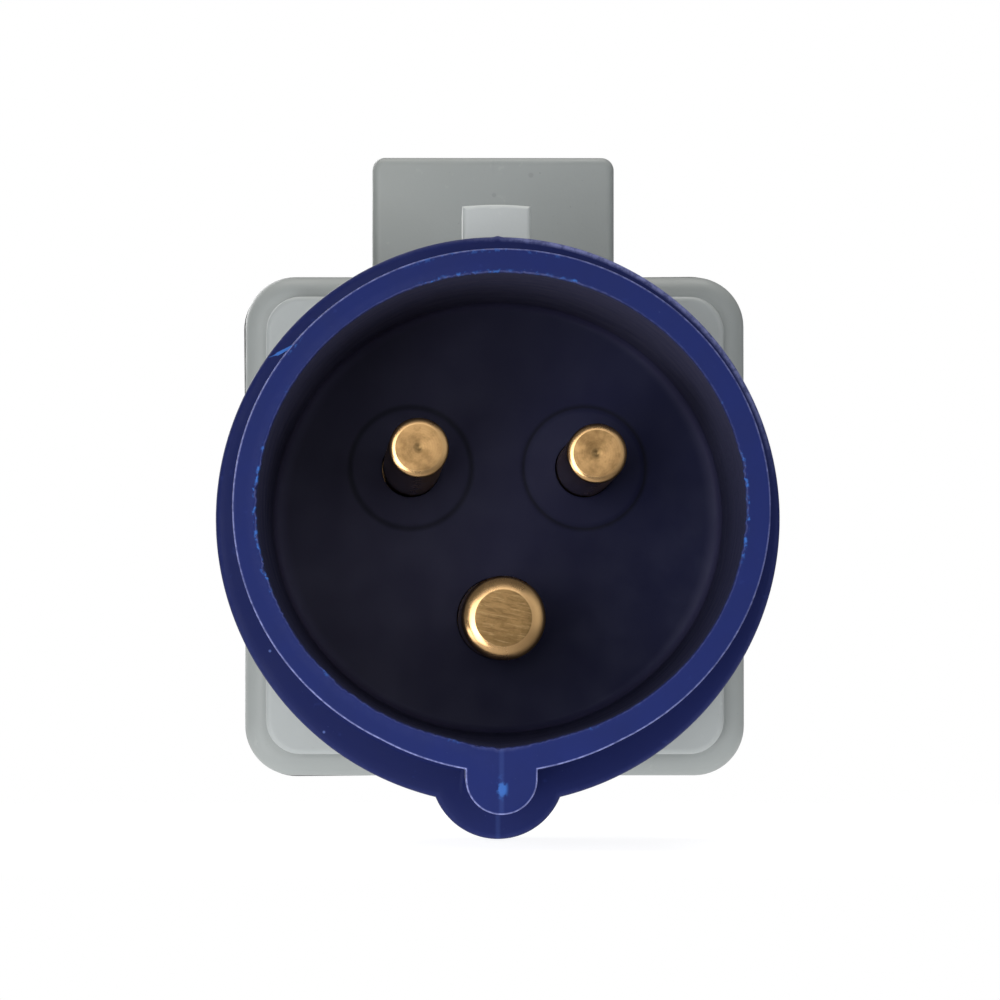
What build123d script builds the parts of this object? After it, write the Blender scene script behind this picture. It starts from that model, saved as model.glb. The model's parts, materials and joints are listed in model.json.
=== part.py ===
from build123d import *
import os
from math import cos, radians, sin

# Industrial plug to domestic earthed socket adapter, in millimetres.
# The plug axis is Y. The contact pins point to -Y, the socket opens to +Y, +Z is up and
# the keyway nose points down. The origin is the centre of the contact floor, between the pins.

# Contact pins
pitch_radius = 8.75
pin_radius = 2.5
pin_length = 28.0
pin_tip_round = 0.45
earth_pin_radius = 3.5
earth_pin_length = 31.5
earth_tip_round = 0.9
tip_dimple = 0.25
pin_root_step = 0.3
pin_collar_overhang = 1.5
pin_collar_thickness = 2.0
tail_radius = 2.4
earth_tail_radius = 3.0
tail_length = 10.0
tail_tap_depth = 7.0
live_pin_angle = 30.0

# Shroud: oval collar, key nose, shoulder flange and spigot
shroud_depth = 38.0
rim_half_width = 22.0
rim_half_height = 21.2
root_growth = 0.4
collar_wall = 2.0
cavity_draft = 0.4
rim_bevel = 0.15
nose_radius = 2.94
nose_centre_drop = 22.15
shoulder_ahead = 2.0
shoulder_depth = 10.0
shoulder_step = 2.17
shoulder_nose_step = 2.9
shoulder_round = 0.5
contact_floor = 6.0
boss_ring_radius = 5.2
boss_ring_width = 0.45
boss_ring_depth = 0.5
spigot_radius = 18.5
spigot_wall = 2.0
spigot_length = 7.5
bead_height = 0.5
bead_width = 1.6
bead_from_end = 1.4

# Pin retainer and its screws
retainer_thickness = 3.0
retainer_screw_inset = 3.5
retainer_screw_drop = 3.0
retainer_screw_radius = 1.25
retainer_screw_head = 2.3
retainer_screw_bite = 3.2

# Housing: round neck, retaining lug, plateau and square flange
seal_thickness = 0.8
neck_wall = 1.4
neck_length = 20.2
inner_neck_wall = 2.3
grip_rib_count = 18
grip_rib_height = 0.6
grip_rib_width = 1.4
grip_rib_margin = 3.0
lug_width = 6.1
lug_top_radius = 28.4
lug_setback = 5.2
lug_round = 0.4
plateau_step = 2.5
plateau_corner = 3.2
plateau_round = 0.5
flange_band = 2.0
flange_depth = 4.5
flange_round = 1.7
box_corner = 4.6

# Socket: body, well insert, contacts and screws
gasket_thickness = 1.0
gasket_skew = 0.5
gasket_shift = 0.05
gasket_opening = 19.5
carrier_thickness = 5.2
carrier_setback = 1.3
shelf_depth = 2.5
shelf_width = 2.4
well_radius = 19.8
well_depth = 17.5
well_floor = 2.5
insert_wall = 1.5
side_wall = 1.6
body_round = 0.6
guide_key_width = 4.4
guide_key_height = 2.0
socket_pitch = 19.0
plug_pin_length = 19.0
pin_hole_radius = 2.7
sleeve_bore = 2.42
sleeve_wall = 0.78
sleeve_base = 1.4
sleeve_spare = 0.5
sleeve_mouth_gap = 0.4
sleeve_shoulder = 1.0
slit_width = 0.7
slit_from_bottom = 4.2
ring_thickness = 0.5
ring_width = 1.4
clip_width = 6.2
clip_thickness = 0.8
clip_reach = 18.2
clip_grip = 16.8
clip_root = 4.5
clip_crest = 9.9
clip_length = 14.0
screw_radius = 1.5
screw_head_radius = 2.75
screw_head_height = 1.8
screw_slack = 0.25
corner_inset = 4.8
corner_recess = 2.4
corner_bite = 5.5
drive_radius = 1.2
drive_depth = 1.0

# Bent brass links
strip_thickness = 1.0
strip_half_width = 3.1
link_reach = 4.9
earth_link_drop = 14.5
rivet_radius = 1.5
rivet_head = 2.4

# Lid and hinge
turret_half_width = 11.5
turret_height = 12.5
turret_depth = 14.5
turret_wall = 3.0
turret_corner = 1.2
turret_round = 0.8
hinge_rise = 7.0
hinge_inset = 4.0
hinge_pin_radius = 1.5
hinge_run = 0.05
knuckle_wall = 2.5
knuckle_width = 3.3
knuckle_side_gap = 0.2
pocket_half_width = 6.9
pocket_floor = 1.0
lid_gap = 0.4
lid_inset = 0.7
lid_depth = 6.1
lid_wall = 2.0
lid_plate = 2.2
lid_round = 1.8
panel_margin = 5.0
panel_depth = 0.4
lid_seal_thickness = 2.0
lid_seal_opening = 20.2
lip_width = 16.0
lip_height = 3.0
lip_reach = 2.6
lip_round = 0.4
spring_wire = 0.35
spring_coil = 2.5
spring_turns = 6
spring_pitch = 0.85

# Clearance between pieces that are seated in each other
fit_gap = 0.05
loose_gap = 0.2

# Places along the axis, from the collar's mouth to the lid
rim_y = -shroud_depth
shoulder_y = -shoulder_ahead
shoulder_rear_y = shoulder_y + shoulder_depth
spigot_end_y = shoulder_rear_y + spigot_length
collar_seat_y = contact_floor - pin_collar_thickness
tail_end_y = contact_floor + tail_length
retainer_rear_y = contact_floor + retainer_thickness
neck_front_y = shoulder_rear_y + seal_thickness
plateau_y = neck_front_y + neck_length
flange_front_y = plateau_y + plateau_step
flange_rear_y = flange_front_y + flange_depth
body_front_y = flange_rear_y + gasket_thickness
carrier_front_y = body_front_y + carrier_setback
shelf_front_y = carrier_front_y + carrier_thickness
shelf_rear_y = shelf_front_y + shelf_depth
well_floor_y = shelf_rear_y + well_floor
body_rear_y = well_floor_y + well_depth
sleeve_mouth_y = shelf_rear_y - sleeve_mouth_gap
sleeve_bottom_y = well_floor_y - plug_pin_length - sleeve_spare
link_rear_y = sleeve_bottom_y - sleeve_base
lid_front_y = body_rear_y + lid_gap
lid_rear_y = lid_front_y + lid_depth

# Sizes across the axis
shoulder_radius = rim_half_width + root_growth + shoulder_step
shoulder_nose_radius = nose_radius + shoulder_nose_step
spigot_bore = spigot_radius - spigot_wall
neck_bore = spigot_radius + fit_gap
neck_groove = spigot_radius + bead_height + loose_gap
neck_radius = neck_groove + neck_wall
inner_neck = neck_radius - inner_neck_wall
insert_radius = well_radius + insert_wall
body_bore = insert_radius + fit_gap
shelf_bore = body_bore - shelf_width
front_bore = body_bore - shelf_width / 2 + loose_gap
box_half = body_bore + side_wall + fit_gap
plateau_half = box_half - flange_band
corner_place = box_half - corner_inset
sleeve_radius = sleeve_bore + sleeve_wall
hinge_y = body_rear_y - hinge_inset
hinge_z = box_half + hinge_rise
turret_top = box_half + turret_height
turret_front_y = body_rear_y - turret_depth
knuckle_radius = hinge_pin_radius + knuckle_wall
lid_half = box_half - lid_inset
live_x = pitch_radius * cos(radians(live_pin_angle))
live_z = pitch_radius * sin(radians(live_pin_angle))
socket_x = socket_pitch / 2

line_place = (live_x, live_z)
neutral_place = (-live_x, live_z)
earth_place = (0.0, -pitch_radius)
retainer_screw_x = spigot_bore - retainer_screw_inset
retainer_screw_places = [(side * retainer_screw_x, -retainer_screw_drop) for side in (-1, 1)]
corner_places = [(i * corner_place, j * corner_place) for i in (-1, 1) for j in (-1, 1)]


def section(y):
    """Plane across the axis at depth y: drawn with +X right and +Z up, facing the mouth."""
    return Plane.XZ.offset(-y)


def along(x, z):
    """Line parallel to the axis through a place across it."""
    return Axis((x, 0, z), (0, 1, 0))


def turned(x, z, profile):
    """Solid turned about the line through (x, z), from (radius, y) points."""
    with BuildPart() as piece:
        with BuildSketch(Plane.XY.offset(z)):
            with BuildLine():
                Polyline([(x + radius, y) for radius, y in profile], close=True)
            make_face()
        revolve(axis=along(x, z))
    return piece.part


def pin_profile(shaft, length, tail):
    """Half section of a contact pin: dimpled tip, shaft, thicker root, collar and tapped tail."""
    collar = shaft + pin_collar_overhang
    return [
        (0, tip_dimple - length),
        (2 * tip_dimple, -length),
        (shaft, -length),
        (shaft, 0),
        (shaft + pin_root_step, 0),
        (shaft + pin_root_step, collar_seat_y),
        (collar, collar_seat_y),
        (collar, contact_floor),
        (tail, contact_floor),
        (tail, tail_end_y),
        (retainer_screw_radius, tail_end_y),
        (retainer_screw_radius, tail_end_y - tail_tap_depth),
        (0, tail_end_y - tail_tap_depth),
    ]


def screw_profile(head_y, end_y, shank, head):
    """Half section of a pan head screw: head towards +Y of head_y, drive recess, shank to end_y."""
    top_y = head_y + screw_head_height
    return [
        (0, top_y - drive_depth),
        (drive_radius, top_y - drive_depth),
        (drive_radius, top_y),
        (head, top_y),
        (head, head_y),
        (shank, head_y),
        (shank, end_y),
        (0, end_y),
    ]


# Key nose: wide along the shoulder, narrow from there to the rim
with BuildPart() as key_nose:
    with BuildSketch(section(shoulder_y)):
        with Locations((0, -nose_centre_drop)):
            Circle(shoulder_nose_radius)
    extrude(amount=-shoulder_depth)
    fillet(key_nose.edges().group_by(Axis.Y)[0], radius=shoulder_round)
    with BuildSketch(section(rim_y)):
        with Locations((0, -nose_centre_drop)):
            Circle(nose_radius)
        with Locations((0, -nose_centre_drop / 2)):
            Rectangle(2 * nose_radius, nose_centre_drop)
    extrude(amount=-(shoulder_y - rim_y))
    chamfer(key_nose.edges().group_by(Axis.Y)[0], length=rim_bevel)

# Shroud: one moulding, with the key nose
with BuildPart() as plug_shroud:
    with BuildSketch(section(shoulder_y)):
        Circle(shoulder_radius)
    extrude(amount=-shoulder_depth)
    fillet(plug_shroud.edges().group_by(Axis.Y)[0], radius=shoulder_round)
    with BuildSketch(section(shoulder_y)):
        Ellipse(rim_half_width + root_growth, rim_half_height + root_growth)
    with BuildSketch(section(rim_y)):
        Ellipse(rim_half_width, rim_half_height)
    loft()
    chamfer(plug_shroud.edges().group_by(Axis.Y)[0], length=rim_bevel)
    add(key_nose.part)
    with BuildSketch(section(shoulder_rear_y)):
        Circle(spigot_radius)
    extrude(amount=-spigot_length)
    # Snap bead round the spigot
    with BuildSketch(Plane.XY):
        with BuildLine():
            Polyline(
                (spigot_radius - bead_height, spigot_end_y - bead_from_end),
                (spigot_radius, spigot_end_y - bead_from_end),
                (spigot_radius + bead_height, spigot_end_y - bead_from_end - bead_width / 2),
                (spigot_radius, spigot_end_y - bead_from_end - bead_width),
                (spigot_radius - bead_height, spigot_end_y - bead_from_end - bead_width),
                close=True,
            )
        make_face()
    revolve(axis=Axis.Y)
    # Collar's cavity, with draft, down to the contact floor
    with BuildSketch(section(rim_y)):
        Ellipse(rim_half_width - collar_wall, rim_half_height - collar_wall)
    with BuildSketch(section(0)):
        Ellipse(
            rim_half_width - collar_wall - cavity_draft,
            rim_half_height - collar_wall - cavity_draft,
        )
    loft(mode=Mode.SUBTRACT)
    # Space behind the contact floor
    with BuildSketch(section(spigot_end_y)):
        Circle(spigot_bore)
    extrude(amount=spigot_end_y - contact_floor, mode=Mode.SUBTRACT)
    # Raised boss rings round the two live pins
    with BuildSketch(section(0)):
        with Locations(line_place, neutral_place):
            Circle(boss_ring_radius)
            Circle(boss_ring_radius - boss_ring_width, mode=Mode.SUBTRACT)
    extrude(amount=-boss_ring_depth, mode=Mode.SUBTRACT)
    # Pin holes, with a seat for each pin's collar
    for place, shaft in (
        (line_place, pin_radius),
        (neutral_place, pin_radius),
        (earth_place, earth_pin_radius),
    ):
        with BuildSketch(section(0)):
            with Locations(place):
                Circle(shaft + pin_root_step + fit_gap)
        extrude(amount=-contact_floor, mode=Mode.SUBTRACT)
        with BuildSketch(section(collar_seat_y)):
            with Locations(place):
                Circle(shaft + pin_collar_overhang + fit_gap)
        extrude(amount=-pin_collar_thickness, mode=Mode.SUBTRACT)
    with BuildSketch(section(contact_floor)):
        with Locations(*retainer_screw_places):
            Circle(retainer_screw_radius)
    extrude(amount=retainer_screw_bite, mode=Mode.SUBTRACT)

# Three turned pins, with rounded tips
pins = {}
for name, place, shaft, length, tail, tip_round in (
    ("line_pin", line_place, pin_radius, pin_length, tail_radius, pin_tip_round),
    ("neutral_pin", neutral_place, pin_radius, pin_length, tail_radius, pin_tip_round),
    ("earth_pin", earth_place, earth_pin_radius, earth_pin_length, earth_tail_radius, earth_tip_round),
):
    with BuildPart() as pin:
        add(turned(*place, pin_profile(shaft, length, tail)))
        tip = pin.edges().filter_by(GeomType.CIRCLE).group_by(Axis.Y)[0].sort_by(SortBy.RADIUS)[-1]
        fillet(tip, radius=tip_round)
    pins[name] = pin

# Plate that traps the pins' collars, and its two screws
with BuildPart() as pin_retainer:
    with BuildSketch(section(contact_floor)):
        Circle(spigot_bore - loose_gap)
        for place, tail in (
            (line_place, tail_radius),
            (neutral_place, tail_radius),
            (earth_place, earth_tail_radius),
        ):
            with Locations(place):
                Circle(tail + fit_gap, mode=Mode.SUBTRACT)
        with Locations(*retainer_screw_places):
            Circle(retainer_screw_radius + fit_gap, mode=Mode.SUBTRACT)
    extrude(amount=-retainer_thickness)

with BuildPart() as retainer_screws:
    for x, z in retainer_screw_places:
        add(
            turned(
                x,
                z,
                screw_profile(
                    retainer_rear_y,
                    contact_floor - retainer_screw_bite,
                    retainer_screw_radius,
                    retainer_screw_head,
                ),
            )
        )

# Flat ring that seals the shroud to the housing's neck
with BuildPart() as neck_seal:
    with BuildSketch(section(shoulder_rear_y)):
        Circle(neck_radius - fit_gap)
        Circle(neck_bore, mode=Mode.SUBTRACT)
    extrude(amount=-seal_thickness)

# Housing: one moulding
with BuildPart() as housing:
    with BuildSketch(section(plateau_y)):
        RectangleRounded(2 * plateau_half, 2 * plateau_half, plateau_corner)
    extrude(amount=-plateau_step)
    fillet(housing.edges().group_by(Axis.Y)[0], radius=plateau_round)
    with BuildSketch(section(flange_front_y)):
        RectangleRounded(2 * box_half, 2 * box_half, box_corner)
    extrude(amount=-flange_depth)
    flange_edges = housing.edges().filter_by(
        lambda edge: abs(edge.center().Y - flange_front_y) < fit_gap
        and max(abs(edge.center().X), abs(edge.center().Z)) > plateau_half + fit_gap
    )
    fillet(flange_edges, radius=flange_round)
    with BuildSketch(section(neck_front_y)):
        Circle(neck_radius)
    extrude(amount=-(neck_length + plateau_step))
    with BuildSketch(section(neck_front_y + grip_rib_margin)):
        with PolarLocations(neck_radius, grip_rib_count):
            Rectangle(2 * grip_rib_height, grip_rib_width)
    extrude(amount=-(neck_length - 2 * grip_rib_margin))
    # Retaining lug, its top concentric with the axis
    with BuildSketch(section(neck_front_y + lug_setback)):
        Circle(lug_top_radius)
        with Locations((0, lug_top_radius)):
            Rectangle(lug_width, 2 * (lug_top_radius - inner_neck), mode=Mode.INTERSECT)
    extrude(amount=-(neck_length + plateau_step - lug_setback))
    lug_edges = housing.edges().filter_by(
        lambda edge: abs(edge.center().Y - neck_front_y - lug_setback) < fit_gap
        and edge.center().Z > neck_radius + lug_round
    )
    fillet(lug_edges, radius=lug_round)
    # Bores, with a groove for the shroud's bead
    with BuildSketch(Plane.XY):
        with BuildLine():
            bead_rear_y = spigot_end_y - bead_from_end + loose_gap
            bead_front_y = bead_rear_y - bead_width - 2 * loose_gap
            Polyline(
                (0, neck_front_y),
                (neck_bore, neck_front_y),
                (neck_bore, bead_front_y),
                (neck_groove, (bead_front_y + bead_rear_y) / 2),
                (neck_bore, bead_rear_y),
                (neck_bore, spigot_end_y + loose_gap),
                (inner_neck, spigot_end_y + loose_gap),
                (inner_neck, flange_rear_y),
                (0, flange_rear_y),
                close=True,
            )
        make_face()
    revolve(axis=Axis.Y, mode=Mode.SUBTRACT)
    with BuildSketch(section(flange_rear_y)):
        with Locations(*corner_places):
            Circle(screw_radius)
    extrude(amount=corner_bite, mode=Mode.SUBTRACT)

# Gasket between housing and socket body, seated slightly askew
with BuildPart() as body_gasket:
    with BuildSketch(section(flange_rear_y)):
        with Locations((-gasket_shift, gasket_shift)):
            RectangleRounded(2 * box_half, 2 * box_half, box_corner, rotation=gasket_skew)
        Circle(gasket_opening, mode=Mode.SUBTRACT)
        with Locations(*corner_places):
            Circle(screw_radius + screw_slack, mode=Mode.SUBTRACT)
    extrude(amount=-gasket_thickness)

# Socket body with its hinge turret: one moulding
with BuildPart() as socket_body:
    with BuildSketch(section(body_front_y)):
        RectangleRounded(2 * box_half, 2 * box_half, box_corner)
    extrude(amount=-(body_rear_y - body_front_y))
    fillet(socket_body.edges().group_by(Axis.Y)[-1], radius=body_round)
    with BuildSketch(section(turret_front_y)):
        with Locations((0, turret_top / 2)):
            Rectangle(2 * turret_half_width, turret_top)
    extrude(amount=-turret_depth)
    turret_sides = (
        socket_body.edges()
        .filter_by(Axis.Y)
        .filter_by(lambda edge: abs(edge.center().Z - turret_top) < fit_gap)
    )
    fillet(turret_sides, radius=turret_corner)
    turret_front = socket_body.edges().filter_by(
        lambda edge: abs(edge.center().Y - turret_front_y) < fit_gap and edge.center().Z > box_half + fit_gap
    )
    fillet(turret_front, radius=turret_round)
    # Pocket for the lid's knuckles, open to the rear and above
    with BuildSketch(Plane.XY.offset(box_half + pocket_floor)):
        with Locations((0, turret_front_y + turret_wall + turret_depth / 2)):
            Rectangle(2 * pocket_half_width, turret_depth)
    extrude(amount=turret_height, mode=Mode.SUBTRACT)
    # Ledge on the pocket's front wall that takes the spring's fixed leg
    with BuildSketch(Plane.XY.offset(box_half + pocket_floor)):
        with Locations((0, turret_front_y + turret_wall)):
            Rectangle(2 * spring_coil, turret_wall)
    extrude(amount=hinge_z + spring_coil - spring_wire - box_half - pocket_floor)
    # Hinge pin hole through both ears
    with BuildSketch(Plane.YZ.offset(-turret_half_width)):
        with Locations((hinge_y, hinge_z)):
            Circle(hinge_pin_radius)
    extrude(amount=2 * turret_half_width, mode=Mode.SUBTRACT)
    # Space for the carrier, the shelf and the well's bore
    with BuildSketch(Plane.XY):
        with BuildLine():
            Polyline(
                (0, body_front_y),
                (front_bore, body_front_y),
                (front_bore, shelf_front_y),
                (shelf_bore, shelf_front_y),
                (shelf_bore, shelf_rear_y),
                (body_bore, shelf_rear_y),
                (body_bore, body_rear_y),
                (0, body_rear_y),
                close=True,
            )
        make_face()
    revolve(axis=Axis.Y, mode=Mode.SUBTRACT)
    with BuildSketch(section(body_front_y)):
        with Locations(*corner_places):
            Circle(screw_radius + screw_slack)
    extrude(amount=-(body_rear_y - body_front_y), mode=Mode.SUBTRACT)
    with BuildSketch(section(body_rear_y)):
        with Locations(*corner_places):
            Circle(screw_head_radius + screw_slack)
    extrude(amount=corner_recess, mode=Mode.SUBTRACT)

with BuildPart() as corner_screws:
    for x, z in corner_places:
        add(
            turned(
                x,
                z,
                screw_profile(
                    body_rear_y - corner_recess, flange_rear_y - corner_bite, screw_radius, screw_head_radius
                ),
            )
        )

# Well insert: cup with two guide keys, pin holes and slots for the earth clip
with BuildPart() as socket_insert:
    with BuildSketch(section(shelf_rear_y)):
        Circle(insert_radius)
    extrude(amount=-(body_rear_y - shelf_rear_y))
    with BuildSketch(section(well_floor_y)):
        Circle(well_radius)
        for side in (-1, 1):
            with Locations((side * well_radius, 0)):
                Rectangle(2 * guide_key_height, guide_key_width, mode=Mode.SUBTRACT)
    extrude(amount=-well_depth, mode=Mode.SUBTRACT)
    # Boss that meets the earth clip's base
    with BuildSketch(section(shelf_rear_y)):
        Circle(screw_head_radius + screw_slack)
    extrude(amount=shelf_depth - clip_thickness)
    with BuildSketch(section(well_floor_y)):
        for side in (-1, 1):
            with Locations((side * socket_x, 0)):
                Circle(pin_hole_radius)
            with Locations((0, side * (clip_reach - clip_thickness / 2))):
                Rectangle(clip_width + 2 * loose_gap, clip_thickness + 2 * loose_gap)
    extrude(amount=well_floor, mode=Mode.SUBTRACT)
    with BuildSketch(section(well_floor_y)):
        Circle(screw_radius + screw_slack)
    extrude(amount=well_floor + shelf_depth, mode=Mode.SUBTRACT)
    with BuildSketch(section(well_floor_y)):
        Circle(screw_head_radius + screw_slack)
    extrude(amount=screw_head_height, mode=Mode.SUBTRACT)

# Insulating carrier that holds both contact sleeves
with BuildPart() as contact_carrier:
    with BuildSketch(section(carrier_front_y)):
        Circle(front_bore - loose_gap)
        with Locations((-socket_x, 0), (socket_x, 0)):
            Circle(sleeve_radius + fit_gap, mode=Mode.SUBTRACT)
        Circle(screw_radius + screw_slack, mode=Mode.SUBTRACT)
    extrude(amount=-carrier_thickness)

# Slit contact sleeves, each riveted to its link
sleeve_profile = [
    (0, link_rear_y - 2 * strip_thickness),
    (rivet_head, link_rear_y - 2 * strip_thickness),
    (rivet_head, link_rear_y - strip_thickness),
    (rivet_radius, link_rear_y - strip_thickness),
    (rivet_radius, link_rear_y),
    (sleeve_radius, link_rear_y),
    (sleeve_radius, carrier_front_y - sleeve_shoulder),
    (sleeve_radius + sleeve_shoulder, carrier_front_y - sleeve_shoulder),
    (sleeve_radius + sleeve_shoulder, carrier_front_y),
    (sleeve_radius, carrier_front_y),
    (sleeve_radius, sleeve_mouth_y),
    (sleeve_bore, sleeve_mouth_y),
    (sleeve_bore, sleeve_bottom_y),
    (0, sleeve_bottom_y),
]
sleeves = {}
for name, side in (("line_contact", 1), ("neutral_contact", -1)):
    with BuildPart() as sleeve:
        add(turned(side * socket_x, 0, sleeve_profile))
        with BuildSketch(section(sleeve_mouth_y)):
            with Locations((side * socket_x, 0)):
                Rectangle(4 * sleeve_radius, slit_width)
                Rectangle(slit_width, 4 * sleeve_radius)
        extrude(amount=sleeve_mouth_y - sleeve_bottom_y - slit_from_bottom, mode=Mode.SUBTRACT)
    sleeves[name] = sleeve

with BuildPart() as contact_rings:
    with BuildSketch(section(sleeve_mouth_y - sleeve_mouth_gap)):
        with Locations((-socket_x, 0), (socket_x, 0)):
            Circle(sleeve_radius + ring_thickness)
            Circle(sleeve_radius, mode=Mode.SUBTRACT)
    extrude(amount=ring_width)

# Earth clip: one bent strip with two sprung arms
with BuildPart() as earth_clip:
    arm = clip_reach - clip_thickness / 2
    base_y = shelf_front_y + clip_thickness / 2
    grip = clip_grip + clip_thickness / 2
    with BuildSketch(Plane.YZ.offset(-clip_width / 2)):
        with BuildLine():
            Polyline(
                (well_floor_y + clip_length, -(arm - clip_thickness / 2)),
                (well_floor_y + clip_crest, -grip),
                (well_floor_y + clip_root, -arm),
                (base_y, -arm),
                (base_y, arm),
                (well_floor_y + clip_root, arm),
                (well_floor_y + clip_crest, grip),
                (well_floor_y + clip_length, arm - clip_thickness / 2),
            )
        trace(line_width=clip_thickness)
    extrude(amount=clip_width)
    with BuildSketch(section(shelf_front_y)):
        Circle(screw_radius + screw_slack)
    extrude(amount=-clip_thickness, mode=Mode.SUBTRACT)

centre_screw = turned(
    0,
    0,
    screw_profile(
        well_floor_y - screw_head_height,
        carrier_front_y - 2 * strip_thickness,
        screw_radius,
        screw_head_radius,
    ),
)

# Live links: a folded strip from each pin's tail to its sleeve
with BuildPart() as line_link:
    pin_leg_y = tail_end_y + strip_thickness / 2
    sleeve_leg_y = link_rear_y - strip_thickness / 2
    web_x = socket_x + link_reach
    with BuildSketch(Plane.XY.offset(-strip_half_width)):
        with BuildLine():
            Polyline(
                (live_x - strip_half_width, pin_leg_y),
                (web_x, pin_leg_y),
                (web_x, sleeve_leg_y),
                (socket_x - strip_half_width, sleeve_leg_y),
            )
        trace(line_width=strip_thickness)
    extrude(amount=live_z + 2 * strip_half_width)
    # Each leg keeps the strip's width round its own eye
    with BuildSketch(section(tail_end_y)):
        with Locations((web_x / 2 - strip_thickness, live_z - strip_half_width)):
            Rectangle(web_x, 4 * strip_half_width, align=(Align.CENTER, Align.MAX))
    extrude(amount=-strip_thickness, mode=Mode.SUBTRACT)
    with BuildSketch(section(link_rear_y - strip_thickness)):
        with Locations((web_x / 2 - strip_thickness, strip_half_width)):
            Rectangle(web_x, 4 * strip_half_width, align=(Align.CENTER, Align.MIN))
    extrude(amount=-strip_thickness, mode=Mode.SUBTRACT)
    with BuildSketch(section(tail_end_y)):
        with Locations(line_place):
            Circle(retainer_screw_radius + fit_gap)
    extrude(amount=-strip_thickness, mode=Mode.SUBTRACT)
    with BuildSketch(section(link_rear_y - strip_thickness)):
        with Locations((socket_x, 0)):
            Circle(rivet_radius)
    extrude(amount=-strip_thickness, mode=Mode.SUBTRACT)

with BuildPart() as neutral_link:
    add(line_link.part.mirror(Plane.YZ))

# Earth link: from the earth pin's tail to the tapped leg under the carrier
with BuildPart() as earth_link:
    with BuildSketch(Plane.YZ.offset(-strip_half_width)):
        with BuildLine():
            Polyline(
                (tail_end_y + strip_thickness / 2, strip_half_width - pitch_radius),
                (tail_end_y + strip_thickness / 2, -earth_link_drop),
                (carrier_front_y - strip_thickness / 2, -earth_link_drop),
                (carrier_front_y - strip_thickness / 2, strip_half_width),
            )
        trace(line_width=strip_thickness)
    extrude(amount=2 * strip_half_width)
    with BuildSketch(section(tail_end_y)):
        with Locations(earth_place):
            Circle(retainer_screw_radius + fit_gap)
    extrude(amount=-strip_thickness, mode=Mode.SUBTRACT)
    with BuildSketch(section(carrier_front_y)):
        Circle(screw_radius)
    extrude(amount=strip_thickness, mode=Mode.SUBTRACT)

with BuildPart() as terminal_screws:
    for x, z in (line_place, neutral_place, earth_place):
        add(
            turned(
                x,
                z,
                screw_profile(
                    tail_end_y + strip_thickness,
                    tail_end_y - tail_length / 2,
                    retainer_screw_radius,
                    rivet_head,
                ),
            )
        )

# Lid with two knuckles, a bar for the spring between them and a finger lip
with BuildPart() as lid:
    with BuildSketch(section(lid_front_y)):
        RectangleRounded(2 * lid_half, 2 * lid_half, box_corner)
    extrude(amount=-lid_depth)
    fillet(lid.edges().group_by(Axis.Y)[-1], radius=lid_round)
    # Shallow panel sunk in the outer face
    panel_side = 2 * (lid_half - panel_margin)
    with BuildSketch(section(lid_rear_y)):
        RectangleRounded(panel_side, panel_side, box_corner - lid_wall)
    extrude(amount=panel_depth, mode=Mode.SUBTRACT)
    with BuildSketch(section(lid_front_y)):
        RectangleRounded(2 * (lid_half - lid_wall), 2 * (lid_half - lid_wall), box_corner - lid_wall)
    extrude(amount=-lid_seal_thickness, mode=Mode.SUBTRACT)
    with BuildSketch(section(lid_front_y)):
        Circle(lid_seal_opening - lid_wall)
    extrude(amount=-(lid_depth - lid_plate), mode=Mode.SUBTRACT)
    # Knuckle arms, drawn from the side
    arm_gap = lid_gap + loose_gap
    for side in (-1, 1):
        with BuildSketch(Plane.YZ.offset(side * (pocket_half_width - knuckle_side_gap - knuckle_width / 2))):
            with Locations((hinge_y, hinge_z)):
                Circle(knuckle_radius)
            with BuildLine():
                Polyline(
                    (hinge_y, hinge_z + knuckle_radius),
                    (lid_front_y + lid_wall, hinge_z + knuckle_radius),
                    (lid_rear_y - lid_plate / 2, hinge_z + lid_gap),
                    (lid_rear_y - lid_plate / 4, box_half - lid_inset - lid_round),
                    (lid_front_y + arm_gap, box_half - lid_inset - lid_round),
                    (lid_front_y + arm_gap, hinge_z - knuckle_radius),
                    (hinge_y, hinge_z - knuckle_radius),
                    close=True,
                )
            make_face()
        extrude(amount=knuckle_width / 2, both=True)
    # Bar that the spring's free leg lies on
    with BuildSketch(Plane.YZ.offset(-pocket_half_width + knuckle_width)):
        with Locations((lid_front_y + lid_depth / 2, hinge_z)):
            Rectangle(lid_plate, 2 * (spring_coil - spring_wire))
    extrude(amount=2 * (pocket_half_width - knuckle_width))
    with BuildSketch(Plane.YZ.offset(-pocket_half_width)):
        with Locations((hinge_y, hinge_z)):
            Circle(hinge_pin_radius + hinge_run)
    extrude(amount=2 * pocket_half_width, mode=Mode.SUBTRACT)
    # Finger lip at the free edge
    with BuildSketch(Plane.YZ.offset(-lip_width / 2)):
        with BuildLine():
            Polyline(
                (lid_rear_y - lid_plate / 2, -lid_half + lid_round),
                (lid_rear_y + lip_reach, -lid_half + lid_round),
                (lid_rear_y + lip_reach, -lid_half + lid_round + lip_height / 3),
                (lid_rear_y - lid_plate / 2, -lid_half + lid_round + 2 * lip_height),
                close=True,
            )
        make_face()
    extrude(amount=lip_width)
    lip_edges = lid.edges().filter_by(lambda edge: edge.center().Y > lid_rear_y + lip_reach - fit_gap)
    fillet(lip_edges, radius=lip_round)

with BuildPart() as lid_gasket:
    with BuildSketch(section(lid_front_y)):
        seal_side = 2 * (lid_half - lid_wall - fit_gap)
        RectangleRounded(seal_side, seal_side, box_corner - lid_wall)
        Circle(lid_seal_opening, mode=Mode.SUBTRACT)
    extrude(amount=-lid_seal_thickness)

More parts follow.
